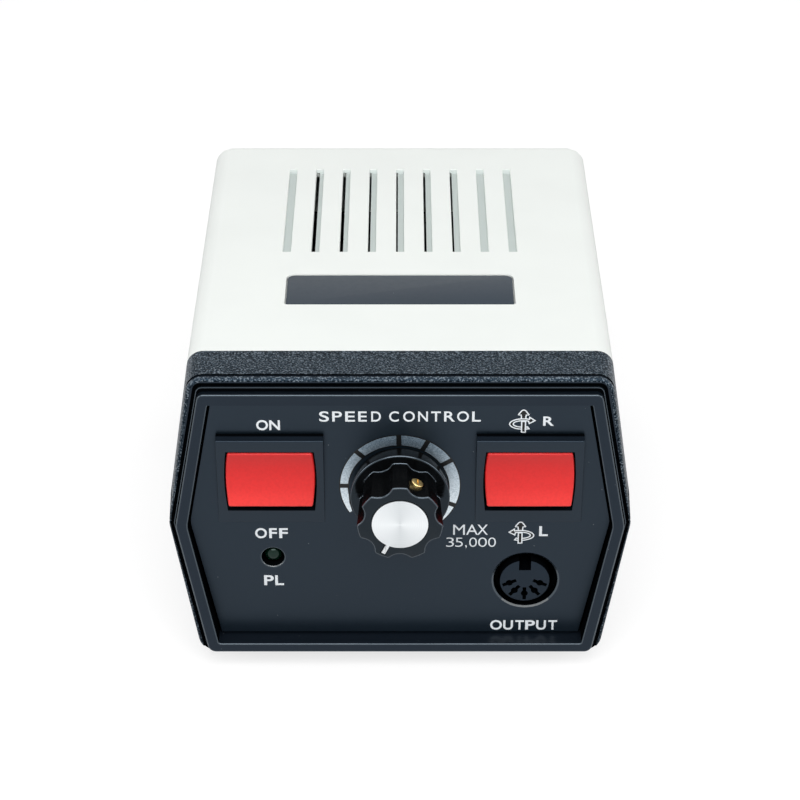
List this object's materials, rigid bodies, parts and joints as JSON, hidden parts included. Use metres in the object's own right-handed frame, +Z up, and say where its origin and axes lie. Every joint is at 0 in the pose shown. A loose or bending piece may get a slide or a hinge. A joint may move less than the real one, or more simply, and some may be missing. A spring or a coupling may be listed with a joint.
{
  "type": "dental laboratory micromotor control box",
  "caption": "Bench control box for a laboratory handpiece: cream vented cover, black bezel, leaning panel with red rockers, speed knob, pilot lamp and round output socket.",
  "frame": {"origin": "on the surface that the feet stand on, below the middle of the box's extent", "axes": "+Z up, -Y out of the front panel, +X to the right as the front is seen"},
  "size_m": [0.1116, 0.1678, 0.0807],
  "materials": {
    "cover_cream": "satin",
    "grained_black": "fine grain",
    "panel_slate": "semi-gloss",
    "plate_slate": "satin",
    "rocker_red": "gloss",
    "knob_black": "high gloss",
    "matt_black": "matt",
    "foot_rubber": "matt",
    "spun_metal": "spun",
    "bright_steel": "plated",
    "plain_aluminium": "satin",
    "brass": "bright",
    "copper_wire": "enamelled wire",
    "core_steel": "laminated",
    "lens_green": "clear tinted",
    "board_green": "lacquered",
    "bobbin_white": "natural",
    "can_blue": "sleeved",
    "fuse_glass": "clear"
  },
  "bodies": {
    "control_box": {"upper_cover": "cover_cream", "lower_case": "grained_black", "front_bezel": "grained_black", "front_panel": "panel_slate", "nameplate": "plate_slate", "rear_panel": "matt_black", "rubber_foot_1": "foot_rubber", "rubber_foot_2": "foot_rubber", "rubber_foot_3": "foot_rubber", "rubber_foot_4": "foot_rubber", "case_screw_1": "bright_steel", "case_screw_2": "bright_steel", "case_screw_3": "bright_steel", "case_screw_4": "bright_steel", "rear_panel_screw_1": "bright_steel", "rear_panel_screw_2": "bright_steel", "rear_panel_screw_3": "bright_steel", "rear_panel_screw_4": "bright_steel", "power_switch_body": "matt_black", "direction_switch_body": "matt_black", "pot_body": "bright_steel", "pot_nut": "bright_steel", "led_lens": "lens_green", "led_holder": "matt_black", "output_socket_shell": "matt_black", "output_socket_insert": "matt_black", "socket_screw_1": "bright_steel", "socket_screw_2": "bright_steel", "circuit_board": "board_green", "board_screw_1": "bright_steel", "board_screw_2": "bright_steel", "filter_capacitor": "can_blue", "bridge_rectifier": "matt_black", "heat_sink": "plain_aluminium", "power_transistor": "matt_black", "transistor_screw": "bright_steel", "transformer_core": "core_steel", "transformer_bobbin": "bobbin_white", "transformer_winding": "copper_wire", "transformer_bracket": "bright_steel", "transformer_screw_1": "bright_steel", "transformer_screw_2": "bright_steel", "mains_inlet": "matt_black", "inlet_blade_live": "brass", "inlet_blade_earth": "brass", "inlet_blade_neutral": "brass", "fuse_holder": "matt_black", "fuse_link": "fuse_glass", "pedal_socket": "matt_black", "pedal_socket_nut": "bright_steel", "selector_body": "bright_steel"},
    "speed_knob": {"speed_knob_body": "knob_black", "speed_knob_cap": "spun_metal", "knob_grub_screw": "brass", "pot_shaft": "plain_aluminium"},
    "power_rocker_paddle": {"power_rocker": "rocker_red"},
    "direction_rocker_paddle": {"direction_rocker": "rocker_red"},
    "fuse_carrier": {"fuse_cap": "matt_black"},
    "selector_thumb_piece": {"selector_slider": "matt_black"}
  },
  "joints": [
    {"name": "speed_knob_turn", "type": "hinge", "parent": "control_box", "child": "speed_knob", "pos_m": [0, -0.06712, 0.0515], "axis": [0, 0.9971, 0.0757], "range_deg": [0, 300]},
    {"name": "power_rocker_tilt", "type": "hinge", "parent": "control_box", "child": "power_rocker_paddle", "pos_m": [-0.03065, -0.06185, 0.0546], "axis": [1, 0, 0], "range_deg": [0, 16]},
    {"name": "direction_rocker_tilt", "type": "hinge", "parent": "control_box", "child": "direction_rocker_paddle", "pos_m": [0.03065, -0.06185, 0.0546], "axis": [1, 0, 0], "range_deg": [0, 16]},
    {"name": "fuse_cap_turn", "type": "hinge", "parent": "control_box", "child": "fuse_carrier", "pos_m": [0.00785, 0.07378, 0.0505], "axis": [0, 1, 0], "range_deg": [0, 45]},
    {"name": "selector_slide", "type": "slide", "parent": "control_box", "child": "selector_thumb_piece", "axis": [1, 0, 0], "range_m": [0, 0.004]}
  ]
}
